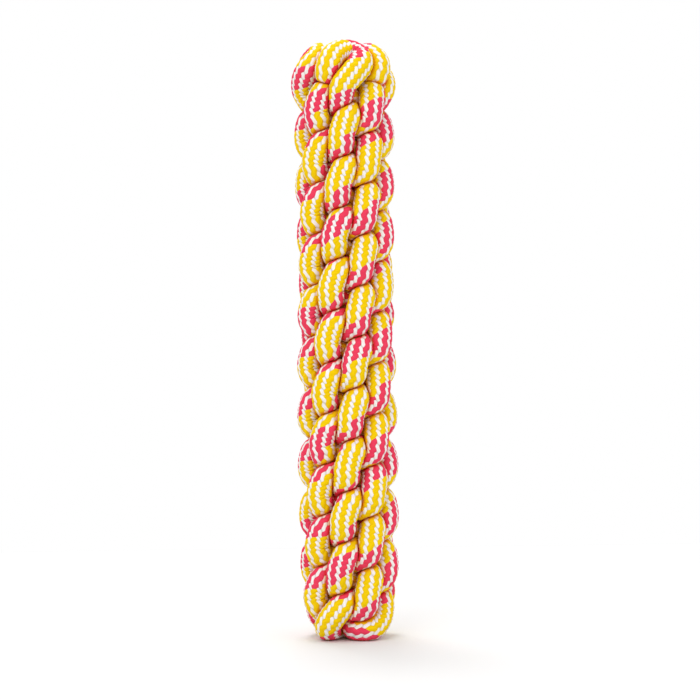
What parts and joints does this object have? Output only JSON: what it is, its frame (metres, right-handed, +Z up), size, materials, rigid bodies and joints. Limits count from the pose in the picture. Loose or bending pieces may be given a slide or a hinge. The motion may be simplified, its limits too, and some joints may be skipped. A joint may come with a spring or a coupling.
{
  "type": "rope dog toy",
  "caption": "Stick-shaped dog toy of braided cotton rope, doubled at the foot and knotted in layers into a round stick that ends in a loop knob, to bite, tug and throw",
  "frame": {"origin": "centre of the toy's bounding box on its flat foot, where it stands on the floor", "axes": "+Z up along the stick from foot to knob, +X right, front towards -Y"},
  "size_m": [0.0433, 0.0434, 0.2506],
  "materials": {
    "braided_cotton": "round braid of soft cotton yarns, yellow and pink-red wales between near-white ones, matt"
  },
  "bodies": {
    "root": {"first_rope": "braided_cotton", "second_rope": "braided_cotton"}
  },
  "joints": []
}
